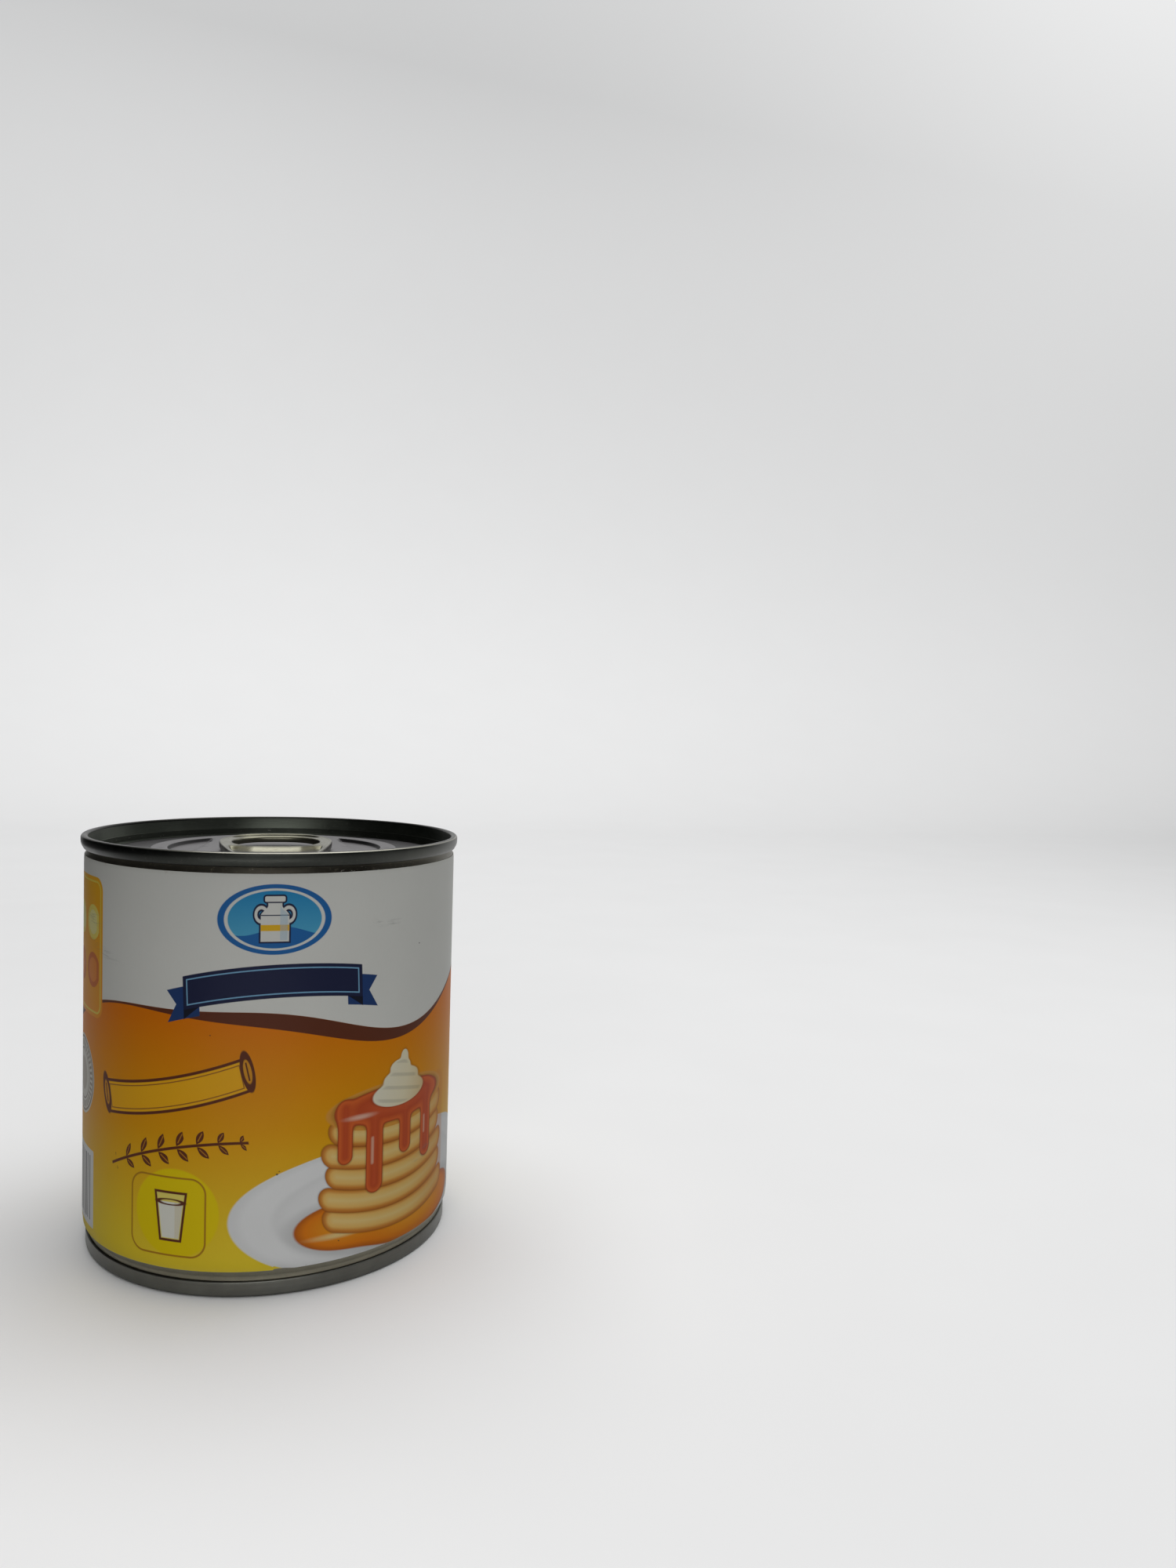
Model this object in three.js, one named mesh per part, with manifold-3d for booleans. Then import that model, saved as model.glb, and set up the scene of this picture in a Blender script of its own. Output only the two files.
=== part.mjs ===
// A condensed milk can: a necked steel body that is shut and full, a ring-pull top end and a plain
// bottom end seamed onto it, the pull tab on its rivet, and a paper label wrapped round the wall.
// Millimetres, +Z up. The origin is the centre of the ring that the can stands on. The tab's nose
// and the middle of the label's front face look along -Y.
import * as THREE from "three";
import { ParametricGeometry } from "three/addons/geometries/ParametricGeometry.js";
import { mergeVertices } from "three/addons/utils/BufferGeometryUtils.js";
import Module from "manifold-3d";

// Driving dimensions of the can
const CAN_HEIGHT = 80.6;
const BODY_RADIUS = 36.3;
const ROUND_STEPS = 72;
const PLAY = 0.1; // the gap left between two neighbouring solids

// Seams
const TOP_SEAM = { outer: 37.1, inner: 35.8, height: 2.6, round: 0.5 };
const BOTTOM_SEAM = { outer: 35.8, inner: 34.5, height: 2.9, round: 0.5 };
const SEAM_HEM = 0.35; // how far a seam's body-side edge tucks in
const TOP_NECK_RADIUS = 36.05;
const BOTTOM_NECK_RADIUS = 35.25;

// Label
const LABEL = { low: 5.05, high: 76.8, gap: 0.05, thickness: 0.15 };

// Top end, as depths below the rim
const SINK_DEPTH = 4.6;
const PLUG_DEPTH = 5.0;
const PANEL_DEPTH = 3.7;
const BEAD_DEPTH = 2.9;
const MIDDLE_DEPTH = 3.25;
const CHUCK_FOOT_RADIUS = 35.1;
const SINK_WIDTH = 1.5;
const SINK_RADIUS = CHUCK_FOOT_RADIUS - SINK_WIDTH / 2;
const BEAD_RADIUS = 22.5;
const BEAD_HALF_WIDTH = 1.2;
const CRESCENT = { outer: 20.9, inside: 14, depth: 3.75 };
const NOSE_WELL = { halfWidth: 9.8, from: -32, to: -14, depth: 3.85 };

// Bottom end, as heights above the floor
const BOTTOM_SINK = 3.5;
const BOTTOM_PANEL = 2.6;
const BOTTOM_PLUG = 4.0;
const BOTTOM_BEADS = [28.6, 22.4];
const BOTTOM_BEAD_RISE = 0.45;

// Pull tab: outlines of its right half from the finger end to the nose, and the curled section
const TAB_OUTER = [
  [0, 6.1], [4.8, 5.4], [8.3, 2.9], [10.5, -1.4], [10.9, -5.8],
  [9.9, -12.2], [8.2, -19.0], [5.4, -26.2], [0, -28.6],
];
const TAB_HOLE = [
  [0, 1.5], [3.4, 1.2], [6.3, -0.4], [8.2, -3.4], [8.5, -6.2],
  [7.2, -9.2], [5.0, -10.7], [2.5, -11.3], [0, -11.4],
];
const TAB_THICKNESS = 1.35;
const TAB_TOP_DEPTH = { finger: 0.8, nose: 2.35 };
const TAB_STEPS = 64;
const CURL_WIDTH = 1.25;
const CURL_GROOVE = 0.45;
const NARROW_RAIL = 3.0;

// Rivet
const RIVET_Y = -21.5;
const RIVET = { stem: 2.2, hole: 2.6, head: 3.3, headHeight: 0.35, headGap: 0.2, foot: 4.2, footRise: 0.2 };

const wasm = await Module();
wasm.setup();

const finish = (color, roughness, metalness) =>
  new THREE.MeshStandardMaterial({ color, roughness, metalness });

function solidOf(geometry) {
  const bare = geometry.clone();
  bare.deleteAttribute("normal");
  bare.deleteAttribute("uv");
  const merged = mergeVertices(bare, 1e-4);
  return new wasm.Manifold(
    new wasm.Mesh({
      numProp: 3,
      vertProperties: merged.attributes.position.array,
      triVerts: new Uint32Array(merged.index.array),
    }),
  );
}

function geometryOf(solid) {
  const mesh = solid.getMesh();
  const geometry = new THREE.BufferGeometry();
  geometry.setAttribute("position", new THREE.BufferAttribute(mesh.vertProperties, 3));
  geometry.setIndex(new THREE.BufferAttribute(mesh.triVerts, 1));
  geometry.computeVertexNormals();
  return geometry;
}

// Turns a profile of [radius, height] points about the can's axis.
function turned(profile, steps = ROUND_STEPS) {
  const points = profile.map(([radius, height]) => new THREE.Vector2(radius, height));
  return new THREE.LatheGeometry(points, steps).rotateX(Math.PI / 2);
}

// Points of a quarter-round corner about a centre, from one angle to another, in degrees.
function corner(radius, height, round, from, to, steps = 3) {
  return Array.from({ length: steps + 1 }, (_, i) => {
    const angle = THREE.MathUtils.degToRad(from + ((to - from) * i) / steps);
    return [radius + round * Math.cos(angle), height + round * Math.sin(angle)];
  });
}

function bodyGeometry() {
  const seamFoot = CAN_HEIGHT - TOP_SEAM.height - PLAY;
  const socketTop = CHUCK_FOOT_RADIUS + 2 * PLAY;
  const socketBottom = BOTTOM_SEAM.inner + 2 * PLAY;
  return turned([
    [0, BOTTOM_PLUG + PLAY],
    [socketBottom, BOTTOM_PLUG + PLAY],
    [socketBottom, BOTTOM_SEAM.height + PLAY],
    [BOTTOM_NECK_RADIUS, BOTTOM_SEAM.height + PLAY],
    [BOTTOM_NECK_RADIUS + 0.05, BOTTOM_SEAM.height + 0.75],
    [(BOTTOM_NECK_RADIUS + BODY_RADIUS) / 2, LABEL.low - 0.75],
    [BODY_RADIUS - 0.15, LABEL.low - 0.2],
    [BODY_RADIUS, LABEL.low + 0.3],
    [BODY_RADIUS, LABEL.high - 0.2],
    [(TOP_NECK_RADIUS + BODY_RADIUS) / 2, LABEL.high + 0.35],
    [TOP_NECK_RADIUS, LABEL.high + 0.8],
    [TOP_NECK_RADIUS, seamFoot],
    [socketTop, seamFoot],
    [socketTop, CAN_HEIGHT - PLUG_DEPTH - PLAY],
    [0, CAN_HEIGHT - PLUG_DEPTH - PLAY],
  ]);
}

function labelGeometry() {
  const inner = BODY_RADIUS + LABEL.gap;
  const outer = inner + LABEL.thickness;
  return turned([
    [inner, LABEL.low],
    [outer, LABEL.low],
    [outer, LABEL.high],
    [inner, LABEL.high],
    [inner, LABEL.low],
  ]);
}

// A half-moon between a circle and a straight line, standing on the side of positive or negative x.
function crescentGeometry(side) {
  const reach = Math.acos(CRESCENT.inside / CRESCENT.outer);
  const moon = new THREE.Shape();
  const middle = side > 0 ? 0 : Math.PI;
  moon.absarc(0, 0, CRESCENT.outer, middle - reach, middle + reach, false);
  moon.closePath();
  return new THREE.ExtrudeGeometry(moon, { depth: 1, bevelEnabled: false, curveSegments: 14 })
    .translate(0, 0, CAN_HEIGHT - CRESCENT.depth);
}

function noseWellGeometry() {
  const length = NOSE_WELL.to - NOSE_WELL.from;
  const height = 2;
  return new THREE.BoxGeometry(2 * NOSE_WELL.halfWidth, length, height)
    .translate(0, (NOSE_WELL.to + NOSE_WELL.from) / 2, CAN_HEIGHT - NOSE_WELL.depth + height / 2);
}

function tabTopAt(y) {
  const [finger, nose] = [TAB_OUTER[0][1], TAB_OUTER.at(-1)[1]];
  const share = (finger - y) / (finger - nose);
  return CAN_HEIGHT - THREE.MathUtils.lerp(TAB_TOP_DEPTH.finger, TAB_TOP_DEPTH.nose, share);
}

function rivetGeometry() {
  const foot = CAN_HEIGHT - NOSE_WELL.depth;
  const plateTop = tabTopAt(RIVET_Y) - CURL_GROOVE;
  const head = plateTop + RIVET.headGap;
  return turned([
    [0, foot - 0.3],
    [RIVET.foot, foot - 0.3],
    [RIVET.foot, foot + RIVET.footRise - 0.1],
    [RIVET.foot - 0.2, foot + RIVET.footRise],
    [RIVET.stem, foot + RIVET.footRise],
    [RIVET.stem, head],
    [RIVET.head, head],
    [RIVET.head, head + RIVET.headHeight * 0.6],
    [RIVET.head - 0.3, head + RIVET.headHeight],
    [0, head + RIVET.headHeight],
  ], 24).translate(0, RIVET_Y, 0);
}

// The double seam and, inside it, the wall that goes down to the middle of the sink.
function topSeamGeometry() {
  const top = CAN_HEIGHT;
  const seamFoot = top - TOP_SEAM.height;
  const { outer, inner, round } = TOP_SEAM;
  return turned([
    [SINK_RADIUS, top - PLUG_DEPTH],
    [CHUCK_FOOT_RADIUS, top - PLUG_DEPTH],
    [CHUCK_FOOT_RADIUS, seamFoot],
    [outer - SEAM_HEM, seamFoot],
    [outer - 0.1, seamFoot + SEAM_HEM],
    [outer, seamFoot + 3 * SEAM_HEM],
    ...corner(outer - round, top - round, round, 0, 90),
    ...corner(inner + round, top - round, round, 90, 180),
    [CHUCK_FOOT_RADIUS, top - SINK_DEPTH + 0.9],
    [CHUCK_FOOT_RADIUS - 0.25, top - SINK_DEPTH + 0.15],
    [SINK_RADIUS, top - SINK_DEPTH],
    [SINK_RADIUS, top - PLUG_DEPTH],
  ]);
}

// The panel that is torn out, from the middle of the sink inwards, with the rivet that it is drawn into.
function topEndGeometry() {
  const top = CAN_HEIGHT;
  const sinkInner = CHUCK_FOOT_RADIUS - SINK_WIDTH;
  const plate = turned([
    [0, top - PLUG_DEPTH],
    [SINK_RADIUS - PLAY, top - PLUG_DEPTH],
    [SINK_RADIUS - PLAY, top - SINK_DEPTH],
    [sinkInner, top - SINK_DEPTH + 0.3],
    [sinkInner - 0.2, top - PANEL_DEPTH],
    [BEAD_RADIUS + 2 * BEAD_HALF_WIDTH, top - PANEL_DEPTH],
    [BEAD_RADIUS + BEAD_HALF_WIDTH, top - BEAD_DEPTH - 0.15],
    [BEAD_RADIUS, top - BEAD_DEPTH],
    [BEAD_RADIUS - BEAD_HALF_WIDTH, top - MIDDLE_DEPTH],
    [0, top - MIDDLE_DEPTH],
  ]);
  const end = solidOf(plate)
    .subtract(solidOf(crescentGeometry(1)))
    .subtract(solidOf(crescentGeometry(-1)))
    .subtract(solidOf(noseWellGeometry()))
    .add(solidOf(rivetGeometry()));
  return geometryOf(end);
}

function bottomEndGeometry() {
  const { outer, inner, height, round } = BOTTOM_SEAM;
  const beads = BOTTOM_BEADS.flatMap((radius) => [
    [radius - 1.6, BOTTOM_PANEL],
    [radius - 0.6, BOTTOM_PANEL - BOTTOM_BEAD_RISE],
    [radius + 0.6, BOTTOM_PANEL - BOTTOM_BEAD_RISE],
    [radius + 1.6, BOTTOM_PANEL],
  ]).sort((a, b) => a[0] - b[0]);
  return turned([
    [0, BOTTOM_PANEL],
    ...beads,
    [inner - 2.1, BOTTOM_PANEL],
    [inner - 1.6, BOTTOM_SINK - 0.1],
    [inner - 0.9, BOTTOM_SINK],
    [inner - 0.3, BOTTOM_SINK - 0.25],
    [inner - 0.1, BOTTOM_SINK - 1],
    ...corner(inner + round, round, round, 180, 270),
    ...corner(outer - round, round, round, 270, 360),
    [outer, height - SEAM_HEM],
    [outer - SEAM_HEM, height],
    [inner, height],
    [inner, BOTTOM_PLUG],
    [0, BOTTOM_PLUG],
  ]);
}

// A closed curve through an outline's right half and its mirror image.
function ringCurve(half) {
  const right = half.map(([x, y]) => new THREE.Vector3(x, y, 0));
  const left = half.slice(1, -1).reverse().map(([x, y]) => new THREE.Vector3(-x, y, 0));
  return new THREE.CatmullRomCurve3([...right, ...left], true, "centripetal");
}

// The tab's section, as [distance from the outer edge, height above its underside] for a rail width.
function tabSection(width) {
  const shrink = Math.min(1, width / NARROW_RAIL);
  const curl = CURL_WIDTH * shrink;
  const top = TAB_THICKNESS;
  const plate = top - CURL_GROOVE * shrink;
  return [
    [0.5 * curl, 0],
    [0.1 * curl, 0.25 * top],
    [0, 0.55 * top],
    [0.12 * curl, 0.85 * top],
    [0.45 * curl, top],
    [0.8 * curl, 0.93 * top],
    [curl, plate],
    [width - curl, plate],
    [width - 0.8 * curl, 0.93 * top],
    [width - 0.45 * curl, top],
    [width - 0.12 * curl, 0.85 * top],
    [width, 0.55 * top],
    [width - 0.1 * curl, 0.25 * top],
    [width - 0.5 * curl, 0],
  ];
}

function tabGeometry() {
  const outer = ringCurve(TAB_OUTER);
  const hole = ringCurve(TAB_HOLE);
  const count = tabSection(NARROW_RAIL).length;
  const ring = new ParametricGeometry(
    (along, round, target) => {
      const a = outer.getPoint(along % 1);
      const b = hole.getPoint(along % 1);
      const width = a.distanceTo(b);
      const [inward, up] = tabSection(width)[Math.round((1 - round) * count) % count];
      target.lerpVectors(a, b, inward / width);
      target.z = tabTopAt(target.y) - TAB_THICKNESS + up;
    },
    TAB_STEPS,
    count,
  );
  const drill = new THREE.CylinderGeometry(RIVET.hole, RIVET.hole, 6, 24)
    .rotateX(Math.PI / 2)
    .translate(0, RIVET_Y, tabTopAt(RIVET_Y));
  return geometryOf(solidOf(ring).subtract(solidOf(drill)));
}

const parts = [
  ["can_body", bodyGeometry(), finish(0x6a685c, 0.42, 1)],
  ["top_seam", topSeamGeometry(), finish(0x6d7069, 0.38, 1)],
  ["top_end", topEndGeometry(), finish(0x85867f, 0.45, 1)],
  ["bottom_end", bottomEndGeometry(), finish(0x6d7069, 0.4, 1)],
  ["pull_tab", tabGeometry(), finish(0x9c9c86, 0.3, 1)],
  ["label", labelGeometry(), finish(0xd8912a, 0.5, 0)],
];

const can = new THREE.Group();
for (const [name, geometry, material] of parts) {
  const mesh = new THREE.Mesh(geometry, material);
  mesh.name = name;
  can.add(mesh);
}

export default can;
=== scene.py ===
# %% [markdown]
# # A condensed milk can with a ring-pull lid
# The can is packed as plain solids at their real size. This lesson loads them as a fixed frame and
# builds the finished surfaces over them: turned tinplate, a stamped lid, a curled pull tab and a
# printed paper sleeve. Sizes are in millimetres until a vertex is made, and then in metres.

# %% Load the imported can
import math

import bmesh
import bpy
from mathutils import Matrix, Vector, noise


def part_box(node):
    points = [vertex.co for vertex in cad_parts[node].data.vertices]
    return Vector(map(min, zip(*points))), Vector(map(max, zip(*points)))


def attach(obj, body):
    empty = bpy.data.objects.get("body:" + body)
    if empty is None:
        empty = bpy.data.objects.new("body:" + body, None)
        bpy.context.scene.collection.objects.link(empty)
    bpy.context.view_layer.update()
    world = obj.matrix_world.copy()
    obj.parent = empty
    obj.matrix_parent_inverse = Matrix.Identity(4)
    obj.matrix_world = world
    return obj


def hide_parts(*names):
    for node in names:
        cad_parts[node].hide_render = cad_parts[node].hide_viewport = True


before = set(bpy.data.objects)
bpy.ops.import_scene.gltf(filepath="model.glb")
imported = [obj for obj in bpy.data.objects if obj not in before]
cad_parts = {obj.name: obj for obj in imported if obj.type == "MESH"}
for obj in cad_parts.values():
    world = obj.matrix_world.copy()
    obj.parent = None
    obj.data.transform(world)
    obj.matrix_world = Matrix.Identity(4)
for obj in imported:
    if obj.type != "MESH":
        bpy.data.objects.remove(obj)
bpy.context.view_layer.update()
print("nodes:", sorted(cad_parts))

# %% [markdown]
# Every new surface takes its main sizes from the solid that it covers, so that the finished can
# and the solid one stay the same size even if the solids are made again.

# %% Read the can's sizes from the frame
MM = 0.001


def reach(node):
    """A node's outer radius, its lowest point and its highest point, in millimetres."""
    low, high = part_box(node)
    return high.x / MM, low.z / MM, high.z / MM


SEAM_R, SEAM_FOOT, RIM = reach("top_seam")
BASE_R, _, BASE_PLUG = reach("bottom_end")
WALL_R, _, WALL_TOP = reach("can_body")
LABEL_R, LABEL_LOW, LABEL_HIGH = reach("label")
print(f"rim {RIM:.2f}, seam radius {SEAM_R:.2f}, wall radius {WALL_R:.2f}")
print(f"label radius {LABEL_R:.2f}, from {LABEL_LOW:.2f} to {LABEL_HIGH:.2f}")

# %% [markdown]
# ## Tools for turned and drawn sheet metal
# A can is almost all surfaces of revolution. The editor's way would be the Spin tool on a drawn
# profile, and bmesh has the same tool as an operator, so one helper turns any profile. Arcs in a
# profile are worked out from their centre and radius, because every fold of a seam is one.

# %% Helpers for profiles and pieces
TURN_STEPS = 288
WELD = 1e-7


def arc(radius, height, size, start, end, steps=8):
    """Points along an arc about (radius, height), from one angle to another in degrees."""
    angles = [math.radians(start + (end - start) * i / steps) for i in range(steps + 1)]
    return [(radius + size * math.cos(a), height + size * math.sin(a)) for a in angles]


def turned(profile, steps=TURN_STEPS):
    """Spins a profile of (radius, height) about the can's axis and returns the closed bmesh."""
    bm = bmesh.new()
    points = [bm.verts.new((radius * MM, 0, height * MM)) for radius, height in profile]
    edges = [bm.edges.new(pair) for pair in zip(points, points[1:])]
    bmesh.ops.spin(bm, geom=points + edges, cent=(0, 0, 0), axis=(0, 0, 1), angle=math.tau,
                   steps=steps, use_merge=True, use_duplicate=False)
    bmesh.ops.remove_doubles(bm, verts=bm.verts, dist=WELD)
    bmesh.ops.recalc_face_normals(bm, faces=bm.faces)
    return bm


def new_object(bm, name, materials):
    """Turns a bmesh into a smooth-shaded object in the scene."""
    mesh = bpy.data.meshes.new(name)
    bm.to_mesh(mesh)
    bm.free()
    for material in materials:
        mesh.materials.append(material)
    mesh.shade_smooth()
    made = bpy.data.objects.new(name, mesh)
    bpy.context.scene.collection.objects.link(made)
    return made


def make_piece(bm, name, materials, sharp_angle=40):
    """Makes a piece of the can. It rides on the can's one body."""
    made = new_object(bm, name, materials)
    made.data.set_sharp_from_angle(angle=math.radians(sharp_angle))
    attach(made, "root")
    print(f"{name}: {len(made.data.vertices)} vertices, {len(made.data.polygons)} faces")
    return made


def ease(value, start, end):
    """Rises smoothly from 0 at start to 1 at end."""
    share = min(1.0, max(0.0, (value - start) / (end - start)))
    return share * share * (3 - 2 * share)


# %% [markdown]
# ## Shader maths as Python expressions
# Most finishes here are patterns worked out from a position: scratches round the seam, print on
# the label. Wiring Math nodes by hand hides what is computed, so a small class wraps a socket and
# Python's own operators add the nodes. `Finish` is one material with a single way to add any node.

# %% A class for values and a class for materials
def math_node(operation):
    """An operator that feeds both of its sides to one Math node."""
    return lambda first, second: first.finish.math(operation, first, second)


class Value:
    """A number that varies over the surface. Operators on it add Math nodes."""

    __add__ = __radd__ = math_node("ADD")
    __mul__ = __rmul__ = math_node("MULTIPLY")
    __sub__ = math_node("SUBTRACT")
    __truediv__ = math_node("DIVIDE")
    __pow__ = math_node("POWER")
    __mod__ = math_node("FLOORED_MODULO")

    def __init__(self, finish, socket):
        self.finish = finish
        self.socket = socket

    def __rsub__(self, other):
        return self.finish.math("SUBTRACT", other, self)

    def __abs__(self):
        return self.finish.math("ABSOLUTE", self)


class Finish:
    """A material in the making: its nodes, its Principled shader and helpers for patterns."""

    def __init__(self, name, metallic=0.0, roughness=0.5, **sockets):
        self.material = bpy.data.materials.new(name)
        self.material.use_nodes = True
        self.tree = self.material.node_tree
        self.shader = self.tree.nodes["Principled BSDF"]
        self.feed("Metallic", metallic)
        self.feed("Roughness", roughness)
        for socket, value in sockets.items():
            self.feed(socket.replace("_", " "), value)

    def fill(self, socket, value):
        """Puts a number, a colour or another socket's output into a socket."""
        if isinstance(value, Value):
            value = value.socket
        if isinstance(value, bpy.types.NodeSocket):
            self.tree.links.new(value, socket)
        elif isinstance(value, (tuple, list, Vector)) and socket.type == "RGBA":
            socket.default_value = (*value[:3], 1.0)
        else:
            socket.default_value = value

    def feed(self, name, value):
        self.fill(self.shader.inputs[name], value)

    def node(self, kind, settings, inputs):
        """Adds any node: its settings come first, because they decide which sockets it has."""
        made = self.tree.nodes.new("ShaderNode" + kind)
        for key, value in settings.items():
            setattr(made, key, value)
        for key, value in inputs.items():
            self.fill(made.inputs[key], value)
        return made

    def math(self, operation, *values):
        made = self.node("Math", {"operation": operation}, dict(enumerate(values)))
        return Value(self, made.outputs[0])

    def least(self, first, second):
        return self.math("MINIMUM", first, second)

    def most(self, first, second):
        return self.math("MAXIMUM", first, second)

    def ramp(self, value, start, end, low=0.0, high=1.0, shape="SMOOTHSTEP"):
        """Goes from low to high while value goes from start to end."""
        made = self.node("MapRange", {"interpolation_type": shape}, {
            "Value": value, "From Min": start, "From Max": end, "To Min": low, "To Max": high})
        return Value(self, made.outputs["Result"])

    def place(self):
        """The position on the piece, in millimetres, as three values and as a vector."""
        coordinates = self.node("TexCoord", {}, {})
        scaled = self.node("VectorMath", {"operation": "SCALE"}, {
            0: coordinates.outputs["Object"], "Scale": 1 / MM})
        parts = self.node("SeparateXYZ", {}, {0: scaled.outputs[0]})
        return [Value(self, s) for s in parts.outputs], scaled.outputs[0]

    def facing(self):
        """The direction that the surface faces, as three values."""
        coordinates = self.node("TexCoord", {}, {})
        parts = self.node("SeparateXYZ", {}, {0: coordinates.outputs["Normal"]})
        return [Value(self, s) for s in parts.outputs]

    def vector(self, x, y, z):
        return self.node("CombineXYZ", {}, {0: x, 1: y, 2: z}).outputs[0]

    def noise(self, vector, scale, detail=3.0, roughness=0.5):
        made = self.node("TexNoise", {}, {
            "Vector": vector, "Scale": scale, "Detail": detail, "Roughness": roughness})
        return Value(self, made.outputs["Fac"])

    def mix(self, mask, below, above):
        """The colour below, covered by the colour above where the mask is 1."""
        made = self.node("Mix", {"data_type": "RGBA"}, {0: mask, 6: below, 7: above})
        return made.outputs[2]

    def times(self, colour, factor):
        """A colour made darker or lighter by a varying factor."""
        made = self.node("VectorMath", {"operation": "SCALE"}, {0: colour, "Scale": factor})
        return made.outputs[0]

    def bump(self, height, distance):
        """Feeds a relief in millimetres to the shader's normal."""
        made = self.node("Bump", {}, {"Height": height, "Distance": distance * MM, "Strength": 1.0})
        self.feed("Normal", made.outputs["Normal"])


# %% [markdown]
# ## Tinplate and lacquered steel
# The seams and the wall inside them are lacquered steel: darker than polished metal, with fine
# lines that run round the can where the seaming rolls pressed it, and a dusty bloom. On the real
# can these lines come from turning, so the pattern is noise read on (angle, radius, height), drawn
# out a long way round and kept very narrow across. The seam's inner roll and flat top carry a
# painted shadow, and the fold just outside it a painted highlight. Painted light brightens the right
# front, and at the left a painted tone darkens the seams and lightens the necks and the inner wall.
# The necks are bare tinplate, warmer and dirtier, with torn paper fibres.

# %% The seams' lacquered steel
CREST_R = SEAM_R - 0.9
FOOT_HEIGHTS = (12.0, 6.0)
ROLL_SHADOW = (0.012, 0.011, 0.009)
CREST_HIGHLIGHT = (0.34, 0.33, 0.28)
PAPER_FIBRE = (0.50, 0.48, 0.42)


def rolled_steel(name, colour, foot_and_right_light_colour, dirt_colour, roughness, dirt_amount, left_painted_light_gain):
    """Metal with lines round the can. It is lighter at its foot, with painted light at the right front.
    """
    finish = Finish(name)
    (x, y, z), place = finish.place()
    radius = (x * x + y * y) ** 0.5
    angle = finish.math("ARCTAN2", y, x)
    foot = finish.ramp(z, *FOOT_HEIGHTS)
    right = finish.ramp(x - y * 0.3, 24.0, 42.0) * 0.45
    left = finish.ramp(x, -10.0, -30.0) * (1.0 - foot)
    lines = finish.noise(finish.vector(angle * 1.2, radius * 7.0, z * 7.0), 1.0, 4.0, 0.6)
    cloud = finish.noise(place, 0.22, 4.0, 0.6)
    grain = finish.noise(place, 9.0, 2.0, 0.5)
    dust = finish.ramp(finish.noise(place, 1.4, 5.0, 0.7), 0.56, 0.74) * dirt_amount

    # Painted light and shade at the left: the gain there darkens the seams and lightens the necks and
    # the inner wall.
    shade = (lines * 0.30 + cloud * 0.45 + grain * 0.12 + 0.55) * (left * (left_painted_light_gain - 1.0) + 1.0)
    # Lighter at the foot, and painted light at the right front where the light falls.
    foot_and_right_light = finish.most(right * (1.0 - foot), foot)
    base = finish.times(finish.mix(foot_and_right_light, colour, foot_and_right_light_colour), shade)

    # Painted shadow on the seam's inner roll and on its flat top.
    near_rim = finish.ramp(z, RIM - 0.30, RIM - 0.12)
    inner_roll = near_rim * finish.ramp(radius, CREST_R - 0.12, CREST_R - 0.22)
    flat_top = finish.ramp(z, RIM - 0.07, RIM - 0.03)
    base = finish.mix(finish.most(inner_roll, flat_top) * 0.8, base, ROLL_SHADOW)
    # A painted highlight on the fold just outside the flat top, fainter towards the left.
    crest = finish.ramp(z, RIM - 0.21, RIM - 0.16) * (1.0 - flat_top)
    crest = crest * finish.ramp(radius, CREST_R, CREST_R + 0.3)
    crest = crest * finish.ramp(x, -26.0, -8.0, 0.12, 1.0) * (lines * 0.8 + 0.45)
    base = finish.mix(crest * 0.8, base, CREST_HIGHLIGHT)

    torn = finish.noise(finish.vector(angle * 22.0, radius * 0.6, z * 2.2), 1.0, 3.0, 0.7)
    flecks = finish.ramp(torn, 0.66, 0.70) * finish.ramp(abs(z - LABEL_HIGH - 0.35), 0.55, 0.2)
    base = finish.mix(flecks * 0.7, base, PAPER_FIBRE)
    finish.feed("Base Color", finish.mix(dust, base, dirt_colour))
    gloss = lines * 0.16 + grain * 0.08 + cloud * 0.14 + dust * 0.3
    finish.feed("Roughness", gloss + (roughness - 0.19))
    finish.feed("Metallic", 1.0 - dust * 0.8)
    finish.bump(lines * 0.6 + grain * 0.4, 0.012)
    return finish.material


SEAM_STEEL = rolled_steel(
    "seam_steel", colour=(0.036, 0.038, 0.034), foot_and_right_light_colour=(0.135, 0.135, 0.12),
    dirt_colour=(0.08, 0.075, 0.065), roughness=0.36, dirt_amount=0.2, left_painted_light_gain=0.35)
NECK_TIN = rolled_steel(
    "neck_tinplate", colour=(0.036, 0.033, 0.026), foot_and_right_light_colour=(0.26, 0.245, 0.19),
    dirt_colour=(0.15, 0.13, 0.085), roughness=0.38, dirt_amount=0.5, left_painted_light_gain=4.5)
WALL_LACQUER = rolled_steel(
    "inner_wall_lacquer", colour=(0.068, 0.075, 0.062), foot_and_right_light_colour=(0.08, 0.09, 0.08),
    dirt_colour=(0.13, 0.13, 0.11), roughness=0.36, dirt_amount=0.3, left_painted_light_gain=1.8)
print("turned metals:", SEAM_STEEL.name, NECK_TIN.name, WALL_LACQUER.name)

# %% [markdown]
# The lid's panel is the same sheet, but flat: it shows the straight lines of the rolling mill
# instead of rings, and a satin lacquer that looks pale under a light from above. The steep edges of
# its relief are darker, from lacquer gathered there and from painted shade, and so is the ring
# outside the raised disc.

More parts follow.
